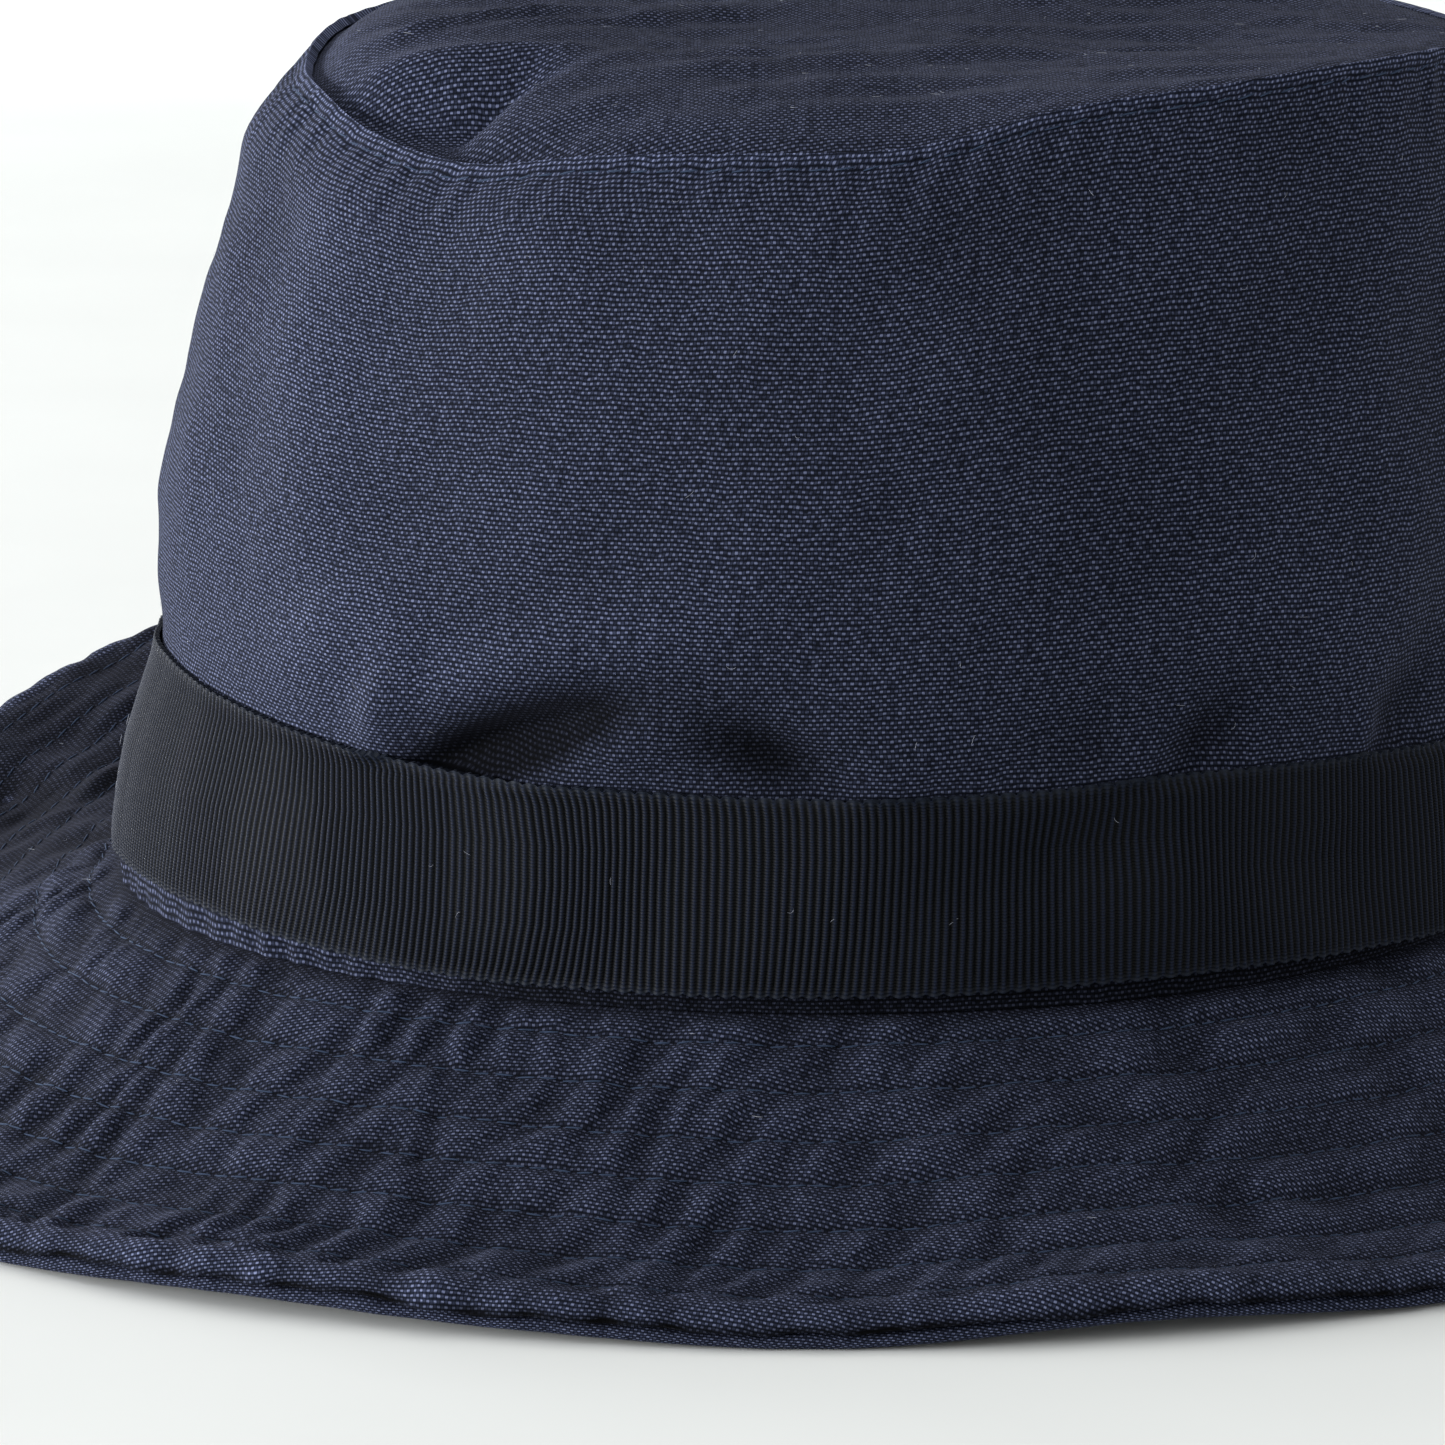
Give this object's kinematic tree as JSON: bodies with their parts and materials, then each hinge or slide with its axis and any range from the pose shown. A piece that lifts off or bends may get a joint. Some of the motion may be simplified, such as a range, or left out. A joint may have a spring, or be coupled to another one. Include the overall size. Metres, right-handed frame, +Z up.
{
  "type": "canvas bucket hat",
  "caption": "Soft canvas hat with a round sewn crown, a ribbed ribbon band and a stitched double brim whose back stands up.",
  "frame": {"origin": "on the surface the hat rests on, under the middle of its box", "axes": "+Z up, -Y towards the front of the hat, +X to the right as the picture shows it"},
  "size_m": [0.3124, 0.2956, 0.1497],
  "materials": {
    "navy_canvas": "washed plain-weave cotton canvas, matt",
    "black_ribbon": "ribbed grosgrain ribbon, low sheen"
  },
  "bodies": {
    "root": {"crown_tip": "navy_canvas", "crown_side_front": "navy_canvas", "crown_side_back": "navy_canvas", "hat_band": "black_ribbon", "brim_upper": "navy_canvas", "brim_under": "navy_canvas"}
  },
  "joints": []
}
